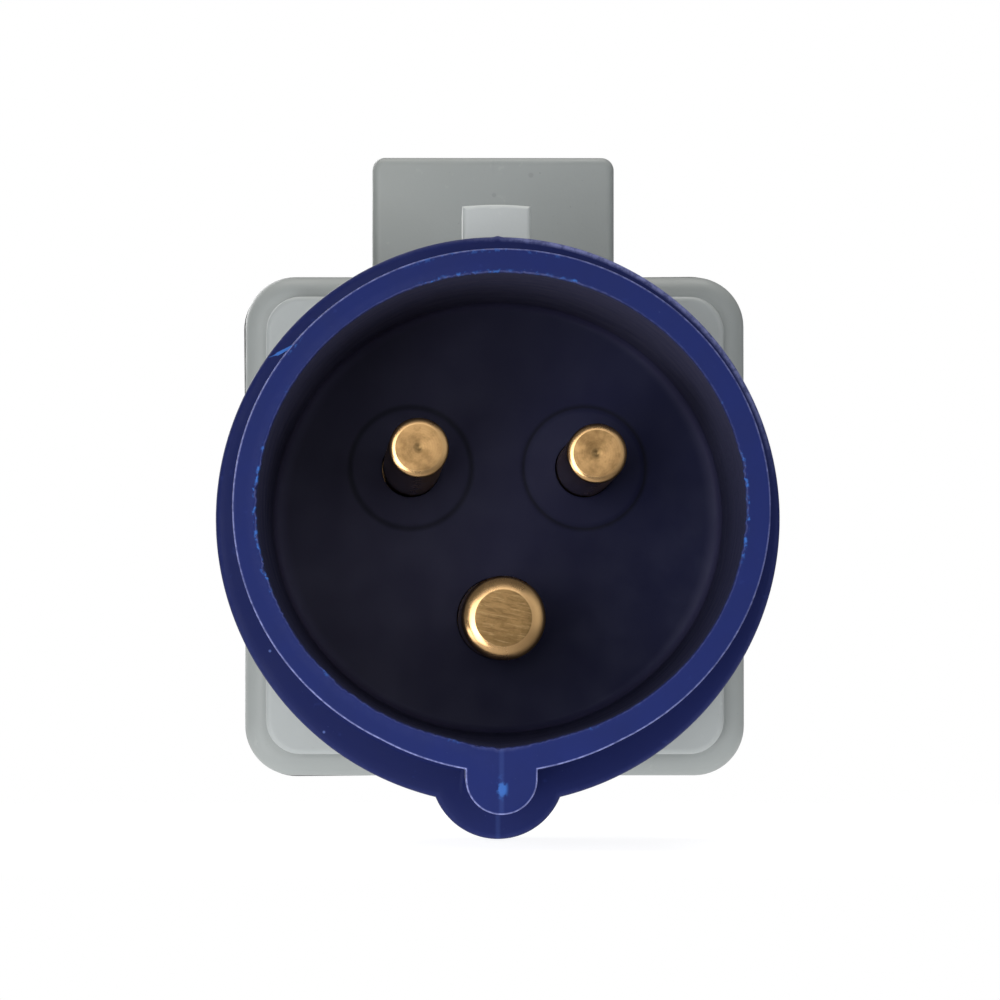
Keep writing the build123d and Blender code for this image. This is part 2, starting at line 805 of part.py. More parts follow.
with BuildPart() as hinge_pin:
    with BuildSketch(Plane.YZ.offset(-turret_half_width)):
        with Locations((hinge_y, hinge_z)):
            Circle(hinge_pin_radius)
    extrude(amount=2 * turret_half_width)
    chamfer(hinge_pin.edges().filter_by(GeomType.CIRCLE), length=loose_gap)

# Torsion spring: coil round the hinge pin, both legs lying on their stops
with BuildPart() as hinge_spring:
    coil_half = spring_turns * spring_pitch / 2
    with BuildLine():
        coil_path = Helix(
            pitch=spring_pitch,
            height=2 * coil_half,
            radius=spring_coil,
            center=(-coil_half, hinge_y, hinge_z),
            direction=(1, 0, 0),
        )
    with BuildSketch(Plane(origin=coil_path @ 0, z_dir=coil_path % 0)):
        Circle(spring_wire)
    sweep(path=coil_path, is_frenet=True)
    # Both legs leave the top of the coil: one to the lid's bar, one to the turret's ledge
    for x, leg_length in (
        (-coil_half, lid_front_y + lid_depth / 2 - hinge_y),
        (coil_half, turret_front_y + turret_wall + fit_gap - hinge_y),
    ):
        with BuildSketch(section(hinge_y)):
            with Locations((x, hinge_z + spring_coil)):
                Circle(spring_wire)
        extrude(amount=-leg_length)

pieces = {
    "plug_shroud": plug_shroud.part,
    **{name: pin.part for name, pin in pins.items()},
    "pin_retainer": pin_retainer.part,
    "retainer_screws": retainer_screws.part,
    "neck_seal": neck_seal.part,
    "housing": housing.part,
    "body_gasket": body_gasket.part,
    "socket_body": socket_body.part,
    "corner_screws": corner_screws.part,
    "socket_insert": socket_insert.part,
    "contact_carrier": contact_carrier.part,
    **{name: sleeve.part for name, sleeve in sleeves.items()},
    "contact_rings": contact_rings.part,
    "earth_clip": earth_clip.part,
    "centre_screw": centre_screw,
    "line_link": line_link.part,
    "neutral_link": neutral_link.part,
    "earth_link": earth_link.part,
    "terminal_screws": terminal_screws.part,
    "lid": lid.part,
    "lid_gasket": lid_gasket.part,
    "hinge_pin": hinge_pin.part,
    "hinge_spring": hinge_spring.part,
}
os.makedirs("parts", exist_ok=True)
for name, piece in pieces.items():
    piece.label = name
    export_step(piece, f"parts/{name}.step")
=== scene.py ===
import json
from math import atan2, cos, degrees, hypot, pi, radians, sin, sqrt

import bmesh
import bpy
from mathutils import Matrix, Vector, noise


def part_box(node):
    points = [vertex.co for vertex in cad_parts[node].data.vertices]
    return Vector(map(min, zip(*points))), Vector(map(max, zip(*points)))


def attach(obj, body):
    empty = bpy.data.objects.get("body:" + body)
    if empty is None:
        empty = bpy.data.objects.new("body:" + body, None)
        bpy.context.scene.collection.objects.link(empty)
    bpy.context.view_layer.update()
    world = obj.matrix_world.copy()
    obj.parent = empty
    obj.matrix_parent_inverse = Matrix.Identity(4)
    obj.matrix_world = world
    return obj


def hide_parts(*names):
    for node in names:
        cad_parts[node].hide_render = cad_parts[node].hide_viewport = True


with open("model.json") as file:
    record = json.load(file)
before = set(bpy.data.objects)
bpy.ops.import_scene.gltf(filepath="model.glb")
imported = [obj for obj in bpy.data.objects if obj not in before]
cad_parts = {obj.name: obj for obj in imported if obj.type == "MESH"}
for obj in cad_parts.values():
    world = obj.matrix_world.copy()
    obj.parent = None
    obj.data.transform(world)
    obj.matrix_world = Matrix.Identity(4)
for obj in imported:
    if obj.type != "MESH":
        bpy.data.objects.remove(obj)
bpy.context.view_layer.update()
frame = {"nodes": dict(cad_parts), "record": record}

# Lengths below are in millimetres times this
MM = 0.001

# Sizes read from the frame
shroud_low, shroud_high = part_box("plug_shroud")
line_low, line_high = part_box("line_pin")
earth_low, earth_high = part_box("earth_pin")
housing_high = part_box("housing")[1]
turret_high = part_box("socket_body")[1]

# Collar, nose and shoulder of the shroud, as in the CAD model
RIM_Y = shroud_low.y
SHOULDER_Y = -2 * MM
SHOULDER_REAR_Y = 8 * MM
SPIGOT_END_Y = shroud_high.y
FLOOR_REAR_Y = 6 * MM
COLLAR_SEAT_Y = 4 * MM
RIM_HALF = Vector((22.0 * MM, 21.2 * MM))
ROOT_GROWTH = 0.4 * MM
WALL = 2.0 * MM
DRAFT = 0.4 * MM
NOSE_RADIUS = 2.94 * MM
SHOULDER_RADIUS = 24.57 * MM
SHOULDER_NOSE_RADIUS = 5.84 * MM
NOSE_DROP = -shroud_low.z - SHOULDER_NOSE_RADIUS
ROOT_FLARE = 0.35 * MM
RIM_BEVEL = 0.15 * MM
SHOULDER_ROUND = 0.5 * MM
SHOULDER_REAR_BEVEL = 0.3 * MM
SPIGOT_RADIUS = 18.5 * MM
SPIGOT_BORE = 16.5 * MM
SPIGOT_BEVEL = 0.3 * MM
BEAD_Y = 13.3 * MM
BEAD_HALF_WIDTH = 0.8 * MM
BEAD_HEIGHT = 0.5 * MM

# Pins
PIN_RADIUS = 2.5 * MM
EARTH_RADIUS = 3.5 * MM
ROOT_STEP = 0.3 * MM
PIN_COLLAR = 1.5 * MM
LIVE_BEVEL = 0.50 * MM
EARTH_BEVEL = 1.1 * MM
# How far out along the bevel, and how far back, each of its steps lies
BEVEL_STEPS = ((0.25, 0.06), (0.5, 0.14), (0.75, 0.26), (0.9, 0.37), (0.975, 0.48), (1.0, 0.62))
TIP_DIMPLE = 0.12 * MM
LIVE_TAIL = 2.4 * MM
EARTH_TAIL = 3.0 * MM
TAIL_END_Y = line_high.y
TAP_RADIUS = 1.25 * MM
TAP_DEPTH = 7 * MM
PIN_STEP_Y = 3.4 * MM
FIT_GAP = 0.02 * MM

# Grooves in the contact floor, round the two live pins, shallow and darkened with painted shade
GROOVE_OUTER = 5.8 * MM
GROOVE_WIDTH = 1.0 * MM
GROOVE_DEPTH = 0.03 * MM
GROOVE_SHADE = 0.32
GROOVE_STEPS = 8

live_x = (line_low.x + line_high.x) / 2
live_z = (line_low.z + line_high.z) / 2
earth_z = (earth_low.z + earth_high.z) / 2

# Marks of the mould: the gate, a burr on the rim, and specks on the shoulder
GATE_MARK = (0.03 * MM, RIM_Y, -22.9 * MM)
BURR_START = Vector((-17.0, 13.25)) * MM
BURR_MIDDLE = Vector((-18.33, 12.53)) * MM
BURR_END = Vector((-19.05, 12.25)) * MM
SPECKS = (Vector((-15.13, -18.67)) * MM, Vector((-19.83, -11.62)) * MM)
SPECK_RADIUS = 0.15 * MM

# The turret's front, before the body's rear end, and the pits in it: across, up, radius
TURRET_DEPTH = 14.5 * MM
TURRET_PITS = (Vector((0.09, 31.9, 0.28)) * MM, Vector((3.6, 33.8, 0.32)) * MM)

# How far the shoulder sits below the axis, and the nub on top of it
SHOULDER_SINK = 0.10 * MM
SHOULDER_NUB = 0.10 * MM

# How far each outline sinks towards the nose, and over what part of its width
SHOULDER_DIP, SHOULDER_DIP_WIDTH = 0.35 * MM, 0.8
RIM_DIP, RIM_DIP_WIDTH = 0.50 * MM, 0.46
CAVITY_DIP, CAVITY_DIP_WIDTH = 0.42 * MM, 0.26

# Outward spread of the collar's inner edge at the rim
LIP_SPREAD = 0.10 * MM

# How far each pin's tip leans, to the right and up, as loose pins do
NEUTRAL_LEAN = Vector((0.78, 0.86)) * MM
LINE_LEAN = Vector((0.45, 0.38)) * MM
EARTH_LEAN = Vector((0.22, -0.22)) * MM

# The photograph's camera, in the row frame
CAMERA_PLACE = Vector((-4.95, -583.0, -13.1)) * MM
AXIS_PIXEL = Vector((441, 668))
FOCAL_PIXELS = 6676
IMAGE_SIZE = 1000
SENSOR_WIDTH = 36

# Floor
FLOOR_SIDE = 0.3
FLOOR_CENTRE_Y = 30 * MM
FLOOR_GAP = 0.1 * MM

# Meshes: points round a hole or pin, and the sharpest edge that is shaded smooth
HOLE_POINTS = 128
CREASE = radians(32)


def share(value, low, high):
    """Smooth step from 0 at low to 1 at high."""
    t = min(max((value - low) / (high - low), 0), 1)
    return t * t * (3 - 2 * t)


def near(value, centre, width):
    """Smooth bump of height 1 at centre, 0 beyond width."""
    return share(width - abs(value - centre), 0, width)


class Nodes:
    """Short calls that add and join the shader nodes of one material."""

    def __init__(self, name):
        self.material = bpy.data.materials.new(name)
        self.material.use_nodes = True
        self.tree = self.material.node_tree
        self.tree.nodes.clear()
        self.shader = self.add("ShaderNodeBsdfPrincipled")
        output = self.add("ShaderNodeOutputMaterial")
        self.join(self.shader.outputs[0], output.inputs["Surface"])
        self.place = self.add("ShaderNodeTexCoord").outputs["Object"]

    def add(self, kind, **values):
        node = self.tree.nodes.new(kind)
        for name, value in values.items():
            setattr(node, name, value)
        return node

    def join(self, source, target):
        self.tree.links.new(source, target)

    def put(self, socket, value):
        """Joins a socket to another node's output, or sets it to a number or colour."""
        if isinstance(value, bpy.types.NodeSocket):
            self.join(value, socket)
        else:
            socket.default_value = value

    def stretched(self, x=1, y=1, z=1):
        mapping = self.add("ShaderNodeMapping")
        mapping.inputs["Scale"].default_value = (x, y, z)
        self.join(self.place, mapping.inputs["Vector"])
        return mapping.outputs[0]

    def turned(self, angle, x, y, z):
        """Place turned about the axis through the part, then stretched."""
        turn = self.add("ShaderNodeMapping")
        turn.inputs["Rotation"].default_value = (0, angle, 0)
        self.join(self.place, turn.inputs["Vector"])
        stretch = self.add("ShaderNodeMapping")
        stretch.inputs["Scale"].default_value = (x, y, z)
        self.join(turn.outputs[0], stretch.inputs["Vector"])
        return stretch.outputs[0]

    def noise(self, scale, detail=4, roughness=0.55, place=None):
        node = self.add("ShaderNodeTexNoise")
        node.inputs["Scale"].default_value = scale
        node.inputs["Detail"].default_value = detail
        node.inputs["Roughness"].default_value = roughness
        self.join(place or self.place, node.inputs["Vector"])
        return node.outputs["Fac"]

    def ramp(self, value, low, high, start=0.0, end=1.0):
        node = self.add("ShaderNodeMapRange", interpolation_type="SMOOTHSTEP")
        self.put(node.inputs["Value"], value)
        for socket, number in zip(("From Min", "From Max", "To Min", "To Max"), (low, high, start, end)):
            node.inputs[socket].default_value = number
        return node.outputs[0]

    def maths(self, operation, *values):
        node = self.add("ShaderNodeMath", operation=operation)
        for socket, value in zip(node.inputs, values):
            self.put(socket, value)
        return node.outputs[0]

    def mix(self, factor, first, second):
        node = self.add("ShaderNodeMix", data_type="RGBA")
        self.put(node.inputs["Factor"], factor)
        for socket, value in ((node.inputs[6], first), (node.inputs[7], second)):
            self.put(socket, value if isinstance(value, bpy.types.NodeSocket) else (*value, 1))
        return node.outputs[2]

    def distance(self, point, place=None):
        node = self.add("ShaderNodeVectorMath", operation="DISTANCE")
        self.join(place or self.place, node.inputs[0])
        node.inputs[1].default_value = point
        return node.outputs["Value"]

    def axis(self, index):
        node = self.add("ShaderNodeSeparateXYZ")
        self.join(self.place, node.inputs[0])
        return node.outputs[index]

    def spot(self, point, radius):
        """1 at a point, 0 beyond the radius."""
        return self.ramp(self.distance(point), radius * 0.5, radius, 1, 0)

    def attribute(self, name):
        return self.add("ShaderNodeAttribute", attribute_name=name).outputs["Fac"]

    def bump(self, height, depth, strength=1.0, normal=None):
        node = self.add("ShaderNodeBump")
        node.inputs["Strength"].default_value = strength
        node.inputs["Distance"].default_value = depth
        self.join(height, node.inputs["Height"])
        if normal:
            self.join(normal, node.inputs["Normal"])
        return node.outputs[0]

    def finish(self, colour, roughness, normal=None, metallic=0.0):
        self.put(self.shader.inputs["Base Color"], colour)
        self.put(self.shader.inputs["Roughness"], roughness)
        self.shader.inputs["Metallic"].default_value = metallic
        if normal:
            self.join(normal, self.shader.inputs["Normal"])
        return self.material


def blue_plastic():
    n = Nodes("blue_plastic")
    mottle = n.noise(260, 5)
    base = n.mix(mottle, (0.0062, 0.0125, 0.083), (0.0105, 0.0195, 0.122))
    # Painted shade: darker from 20 mm behind the rim back to the shoulder, which the collar shades
    painted_shade_back = n.ramp(n.axis(1), -20 * MM, SHOULDER_Y)
    base = n.mix(n.maths("MULTIPLY", painted_shade_back, 0.6), base, (0.0072, 0.0108, 0.066))
    scratch = n.ramp(n.noise(900, 3, place=n.stretched(1, 0.12, 1)), 0.66, 0.76)
    base = n.mix(n.maths("MULTIPLY", scratch, 0.12), base, (0.04, 0.07, 0.30))
    dust = n.ramp(n.noise(2600, 2), 0.73, 0.80)
    base = n.mix(n.maths("MULTIPLY", dust, 0.2), base, (0.09, 0.12, 0.30))
    for x, z in SPECKS:
        speck = n.spot((x, SHOULDER_Y, z), SPECK_RADIUS)
        base = n.mix(n.maths("MULTIPLY", speck, 0.5), base, (0.16, 0.24, 0.60))
    # The gate's mark and the mould's parting line on the nose
    tall = n.stretched(1, 1, 0.5)
    x, y, z = GATE_MARK
    gate = n.ramp(n.distance((x, y, 0.5 * z), tall), 0.20 * MM, 0.62 * MM, 1, 0)
    gate = n.maths("MULTIPLY", gate, n.ramp(n.noise(1100, 3), 0.40, 0.54))
    base = n.mix(n.maths("MULTIPLY", gate, 0.85), base, (0.035, 0.13, 0.44))
    centred = n.ramp(n.maths("ABSOLUTE", n.axis(0)), 0.05 * MM, 0.32 * MM, 1, 0)
    low = n.ramp(n.axis(2), -RIM_HALF.y + WALL, -RIM_HALF.y + 0.8 * WALL)
    parting = n.maths("MULTIPLY", n.maths("MULTIPLY", centred, low), 0.15)
    base = n.mix(parting, base, (0.06, 0.11, 0.34))
    # Scuffed edges, with painted highlight: lighter along the rim's outer edge, most at its lower left, and
    # along the shoulder's edge at its upper right
    broken = n.ramp(n.noise(1900, 4, 0.7), 0.36, 0.62)
    worn = n.maths("ADD", n.maths("MULTIPLY", broken, 0.6), 0.4)
    base = n.mix(n.maths("MULTIPLY", n.attribute("wear_and_highlight"), worn), base, (0.27, 0.30, 0.60))
    # Bruises: 1 where they are broken into specks, 2 where they are whole
    bruise = n.attribute("bruise")
    specks = n.maths("MULTIPLY", bruise, n.ramp(n.noise(2300, 3, 0.6), 0.50, 0.62))
    whole = n.maths("MAXIMUM", n.maths("SUBTRACT", bruise, 1.0), specks)
    base = n.mix(whole, base, (0.035, 0.125, 0.42))
    # Painted shade in the cavity: its wall at 0.5 and its floor at 1 are darker and greyer, and the grooves
    # and holes towards 1.5 go near black
    inside = n.attribute("inside")
    # Painted light and shade: the floor lighter on its left and darker on its right, lighter at its corner
    # with the wall, and the wall lighter towards its top
    floor = n.mix(n.ramp(n.axis(0), -18 * MM, 18 * MM), (0.030, 0.028, 0.055), (0.009, 0.010, 0.042))
    painted_corner_light = n.ramp(n.distance((0, 0, 0), n.stretched(1, 0, 1)), 18.0 * MM, 19.2 * MM)
    floor = n.mix(n.maths("MULTIPLY", painted_corner_light, 0.45), floor, (0.070, 0.067, 0.130))
    wall = n.mix(n.ramp(n.axis(2), -8 * MM, 17 * MM), (0.040, 0.042, 0.090), (0.062, 0.062, 0.115))
    base = n.mix(n.ramp(inside, 0.0, 0.5), base, wall)
    base = n.mix(n.ramp(inside, 0.5, 1.0), base, floor)
    base = n.mix(n.ramp(inside, 1.0, 1.5), base, (0.0012, 0.0012, 0.0030))
    grain = n.bump(n.noise(5200, 3), 0.010 * MM, 0.4)
    normal = n.bump(n.noise(420, 3), 0.03 * MM, 0.3, grain)
    rough = n.ramp(mottle, 0.3, 0.7, 0.42, 0.55)
    n.shader.inputs["Specular IOR Level"].default_value = 0.12
    n.shader.inputs["Specular Tint"].default_value = (0.72, 0.77, 1.0, 1)
    return n.finish(base, rough, normal)


def grey_plastic():
    n = Nodes("grey_plastic")
    mottle = n.noise(180, 5)
    base = n.mix(mottle, (0.330, 0.353, 0.355), (0.400, 0.423, 0.424))
    stain = n.ramp(n.noise(34, 4, 0.6), 0.52, 0.74)
    base = n.mix(n.maths("MULTIPLY", stain, 0.22), base, (0.30, 0.30, 0.27))
    speck = n.ramp(n.noise(3100, 2), 0.73, 0.79)
    base = n.mix(n.maths("MULTIPLY", speck, 0.35), base, (0.10, 0.10, 0.09))
    scratch = n.ramp(n.noise(700, 3, place=n.stretched(1, 0.1, 0.8)), 0.66, 0.74)
    base = n.mix(n.maths("MULTIPLY", scratch, 0.2), base, (0.55, 0.57, 0.56))
    # Painted shade, darker from the flange back, and painted light on the lug in front of it
    painted_shade_behind = n.ramp(n.axis(1), housing_high.y - 6.0 * MM, housing_high.y - 4.6 * MM)
    base = n.mix(n.maths("MULTIPLY", painted_shade_behind, 0.35), base, (0.17, 0.185, 0.172))
    painted_light_lug = n.maths("MULTIPLY", n.ramp(n.axis(2), 22 * MM, 24 * MM), n.maths("SUBTRACT", 1.0, painted_shade_behind))
    base = n.mix(n.maths("MULTIPLY", painted_light_lug, 0.5), base, (0.66, 0.69, 0.68))
    # The turret's front: a faint seam near its top, and two pits
    centred = n.ramp(n.maths("ABSOLUTE", n.axis(0)), 0.06 * MM, 0.16 * MM, 1, 0)
    upright = n.ramp(n.axis(2), 33.5 * MM, 34.5 * MM)
    seam = n.maths("MULTIPLY", n.maths("MULTIPLY", centred, upright), 0.08)
    base = n.mix(seam, base, (0.20, 0.22, 0.21))
    for x, z, radius in TURRET_PITS:
        pit = n.spot((x, turret_high.y - TURRET_DEPTH, z), radius)
        base = n.mix(n.maths("MULTIPLY", pit, 0.22), base, (0.12, 0.13, 0.12))
    grain = n.bump(n.noise(4200, 3), 0.014 * MM, 0.6)
    normal = n.bump(n.noise(240, 3), 0.03 * MM, 0.3, grain)
    rough = n.ramp(mottle, 0.3, 0.7, 0.42, 0.56)
    n.shader.inputs["IOR"].default_value = 1.47
    return n.finish(base, rough, normal)


def carrier_plastic():
    n = Nodes("carrier_plastic")
    mottle = n.noise(300, 5)
    base = n.mix(mottle, (0.030, 0.030, 0.034), (0.055, 0.055, 0.060))
    return n.finish(base, n.ramp(mottle, 0.3, 0.7, 0.5, 0.65), n.bump(n.noise(3800, 3), 0.02 * MM, 0.5))


def black_rubber():
    n = Nodes("black_rubber")
    mottle = n.noise(420, 5)
    base = n.mix(mottle, (0.010, 0.010, 0.011), (0.026, 0.026, 0.027))
    bloom = n.ramp(n.noise(1300, 3), 0.60, 0.72)
    base = n.mix(n.maths("MULTIPLY", bloom, 0.25), base, (0.10, 0.10, 0.10))
    return n.finish(base, n.ramp(mottle, 0.3, 0.7, 0.6, 0.8), n.bump(n.noise(5200, 3), 0.03 * MM, 0.6))


def brass():
    n = Nodes("brass")
    face = n.attribute("face")
    sawn = n.attribute("sawn")
    flat = n.maths("MAXIMUM", face, sawn)
    cloud = n.noise(520, 6, 0.65)
    base = n.mix(n.ramp(cloud, 0.32, 0.68), (0.15, 0.088, 0.035), (0.36, 0.220, 0.096))
    brown = n.ramp(n.noise(1300, 5, 0.7), 0.50, 0.74)
    base = n.mix(n.maths("MULTIPLY", brown, 0.45), base, (0.14, 0.080, 0.030))
    base = n.mix(n.maths("MULTIPLY", n.maths("SUBTRACT", 1.0, flat), 0.55), base, (0.80, 0.50, 0.24))
    # Painted shade on the pins' bevels, from their dull attribute, which also roughens them
    dull = n.attribute("dull")
    base = n.mix(n.maths("MULTIPLY", dull, 0.65), base, (0.21, 0.130, 0.055))
    base = n.mix(n.maths("MULTIPLY", sawn, 0.6), base, (0.100, 0.062, 0.024))
    # A lathe's rings on a faced tip, or the fine streaks that a saw leaves
    rings = n.maths("SINE", n.maths("MULTIPLY", n.attribute("radius"), 2 * pi / (0.21 * MM)))
    rings = n.maths("MULTIPLY", rings, n.maths("MULTIPLY", face, 0.25))
    streaks = n.noise(3900, 5, 0.65, n.turned(radians(-12), 0.13, 1, 1))
    dark = n.maths("MULTIPLY", n.ramp(streaks, 0.49, 0.64), n.maths("MULTIPLY", sawn, 0.60))
    base = n.mix(dark, base, (0.085, 0.050, 0.020))
    pale = n.maths("MULTIPLY", n.ramp(streaks, 0.34, 0.46, 1, 0), n.maths("MULTIPLY", sawn, 0.22))
    base = n.mix(pale, base, (0.45, 0.32, 0.17))
    centre = n.ramp(n.attribute("radius"), 0.15 * MM, 0.60 * MM, 0.5, 0)
    base = n.mix(n.maths("MULTIPLY", centre, face), base, (0.13, 0.085, 0.035))
    scored = n.maths("MULTIPLY", streaks, sawn)
    turned = n.maths("MULTIPLY", n.noise(1500, 2, place=n.stretched(1, 9, 1)), 0.04)
    height = n.maths("ADD", n.maths("ADD", rings, scored), turned)
    normal = n.bump(height, 0.012 * MM, 0.6)
    flattened = n.maths("ADD", n.maths("MULTIPLY", flat, 0.24), n.maths("MULTIPLY", dull, 0.20))
    rough = n.maths("ADD", n.ramp(cloud, 0.3, 0.72, 0.16, 0.24), flattened)
    return n.finish(base, rough, normal, 1.0)


def plated_steel():
    n = Nodes("plated_steel")
    cloud = n.noise(600, 5, 0.6)
    base = n.mix(cloud, (0.46, 0.46, 0.45), (0.68, 0.68, 0.68))
    dull = n.ramp(n.noise(1500, 3), 0.60, 0.75)
    base = n.mix(n.maths("MULTIPLY", dull, 0.4), base, (0.30, 0.29, 0.27))
    normal = n.bump(n.noise(1800, 3, place=n.stretched(1, 0.2, 1)), 0.010 * MM, 0.5)
    return n.finish(base, n.ramp(cloud, 0.3, 0.7, 0.22, 0.42), normal, 1.0)


def new_piece(name, mesh, node, body, slot):
    """Object of a finished mesh that stands for a CAD node and rides on its body."""
    mesh.normal_update()
    for edge in mesh.edges:
        edge.smooth = len(edge.link_faces) != 2 or edge.calc_face_angle(0) < CREASE
    for face in mesh.faces:
        face.smooth = True
    data = bpy.data.meshes.new(name)
    mesh.to_mesh(data)
    mesh.free()
    piece = bpy.data.objects.new(name, data)
    bpy.context.scene.collection.objects.link(piece)
    piece.data.materials.append(materials[slot])
    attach(piece, body)
    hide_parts(node)


def bridge(mesh, loops):
    """Faces between each two neighbours of a row of loops of the same count."""
    for first, second in zip(loops, loops[1:]):
        count = len(first)
        for i in range(count):
            j = (i + 1) % count
            mesh.faces.new((first[i], first[j], second[j], second[i]))


def cap_ends(mesh, loops):
    mesh.faces.new(loops[0])
    mesh.faces.new(loops[-1])


def circle(mesh, centre, radius, y):
    """Loop of points round a pin or hole."""
    cx, cz = centre
    turns = [2 * pi * i / HOLE_POINTS for i in range(HOLE_POINTS)]
    return [mesh.verts.new((cx + radius * cos(t), y, cz + radius * sin(t))) for t in turns]


def fill_flat(mesh, *loops):
    """Flat face with holes, between loops that lie in one plane across the axis."""
    edges = []
    for loop in loops:
        for i, vert in enumerate(loop):
            follower = loop[(i + 1) % len(loop)]
            edges.append(mesh.edges.get((vert, follower)) or mesh.edges.new((vert, follower)))
    bmesh.ops.triangle_fill(mesh, edges=edges, use_beauty=True, use_dissolve=False, normal=(0, -1, 0))


# Shroud: a way is a direction across the axis, and an outline gives its distance along each way.
# The ways are closest together at the nose, which points straight down.
NOSE_SPAN = radians(17)
NOSE_STEPS = 200
ROUND_STEPS = 720
around = [-NOSE_SPAN + 2 * NOSE_SPAN * i / NOSE_STEPS for i in range(NOSE_STEPS)]
around += [NOSE_SPAN + (2 * pi - 2 * NOSE_SPAN) * i / ROUND_STEPS for i in range(ROUND_STEPS)]
ways = [Vector((sin(a), -cos(a))) for a in around]


def oval(way, half):
    return 1 / hypot(way.x / half.x, way.y / half.y)


def round_tip(down, radius):
    """Distance to the far side of the nose's round end, or 0 where a way misses it."""
    root = (NOSE_DROP * down) ** 2 - NOSE_DROP**2 + radius**2
    return NOSE_DROP * down + sqrt(root) if root > 0 and down > 0 else 0


def nose(way, radius):
    """Distance to the outside of the round nose and of the web that carries it."""
    down = -way.y
    if down <= 0:
        return 0
    web = min(radius / max(abs(way.x), 1e-9), NOSE_DROP / down)
    return max(round_tip(down, radius), web)


def dip(way, depth, width):
    """Straight fall of an outline towards the nose, as the mould's two halves meet there."""
    return depth * max(1 - abs(way.x) / width, 0) if way.y < 0 else 0


def collar_outline(way, y, shrink):
    grown = RIM_HALF + Vector((1, 1)) * (ROOT_GROWTH * (y - RIM_Y) / (SHOULDER_Y - RIM_Y) - shrink)
    return max(oval(way, grown) + dip(way, RIM_DIP, RIM_DIP_WIDTH), nose(way, NOSE_RADIUS - shrink))


def shoulder_outline(way, shrink):
    down = -way.y
    nub = SHOULDER_NUB * near(way.x, 0.0, 0.02) if way.y > 0 else 0
    sunk = dip(way, SHOULDER_DIP, SHOULDER_DIP_WIDTH)
    reach = SHOULDER_RADIUS - shrink + SHOULDER_SINK * down + sunk + nub
    return max(reach, round_tip(down, SHOULDER_NOSE_RADIUS - shrink))


def cavity_outline(way, y):
    depth = (y - RIM_Y) / -RIM_Y
    sunk = dip(way, CAVITY_DIP, CAVITY_DIP_WIDTH) * share(-y, 22 * MM, 36 * MM)
    return oval(way, RIM_HALF - Vector((1, 1)) * (WALL + DRAFT * depth)) + sunk


def ragged(way, scale, seed):
    return noise.fractal(Vector((way.x * scale, way.y * scale, seed)), 0.6, 2.2, 5)


def inner_damage(way):
    """How torn the collar's inner edge is, by direction: most on the left, some at right and top."""
    left = share(-way.x, 0.86, 0.98) * share(0.35 - way.y, 0, 0.3)
    right = 0.7 * share(way.x, 0.88, 0.99) * share(way.y, -0.35, -0.05) * share(0.42 - way.y, 0, 0.3)
    top = 0.45 * share(way.y, 0.88, 0.98)
    return min(0.15 + max(left, right, top), 1)


def torn(way):
    """Outward break of the collar's inner edge in metres."""
    rough = ragged(way, 14, 3.1) * 0.16 + ragged(way, 70, 7.7) * 0.12
    lower = 0.55 * share(-way.y, -0.1, 0.4) * share(0.5 - way.x, 0, 0.5)
    return rough * max(inner_damage(way), lower) * MM


# Outlines as functions of the way alone
def collar(y, shrink=0.0):
    return lambda way: collar_outline(way, y, shrink)


def shoulder(shrink=0.0):
    return lambda way: shoulder_outline(way, shrink)


def cavity(y, out=0.0, tearing=0.0):
    return lambda way: cavity_outline(way, y) + out + tearing * torn(way)


def disc(radius):
    return lambda way: radius


def blend(first, second, part):
    return lambda way: first(way) * (1 - part) + second(way) * part


def round_over(y, radius):
    """Steps of a rounded edge that starts at y: each one's y, and how far inside the outline it is."""
    for turn in (0, 30, 60, 90):
        yield y + radius * (1 - cos(radians(turn))), radius * (1 - sin(radians(turn)))


# Wear with painted highlight, and bruises, by way, for the shader
def edge_wear_and_highlight(way):
    # Painted highlight: the lit term makes the rim's outer edge lighter towards its lower left, on top of
    # its wear
    lit = 0.35 * share(-way.x - way.y, -0.6, 0.8)
    return min(max(0.42 + lit + 0.25 * ragged(way, 40, 1.3), 0), 1)


def edge_bruise(way):
    """Light blue scuffs along the top of the rim's outer edge."""
    return 0.45 * share(way.y, 0.90, 0.97) * share(0.36 - abs(way.x + 0.08), 0, 0.10)


def lip_wear(way):
    return 0.10 + 0.12 * inner_damage(way) + 0.10 * share(way.y, 0.8, 0.98)


def lip_bruise(way):
    """Light blue specks along the torn inner edge."""
    return share(inner_damage(way) + 0.5 * ragged(way, 9, 5.0), 0.30, 0.75)


def rim_wear(most):
    """Faint wear of the rim's flat, on its left."""
    return lambda way: most * share(-way.x, -0.2, 0.5)


def rim_bruise(way):
    """Blue that the burr at the upper left leaves on the rim, with the scuffs beside it."""
    burr = 0.7 * near((way - BURR_START.normalized()).length, 0.0, 0.06)
    return burr + 0.5 * edge_bruise(way)


# Mostly painted highlight along the shoulder's edge at its upper right, over faint wear all round
def shoulder_wear_and_highlight(way):
    return 0.03 + 0.55 * share(way.y, 0.1, 0.5) * share(way.x, -0.15, 0.25)


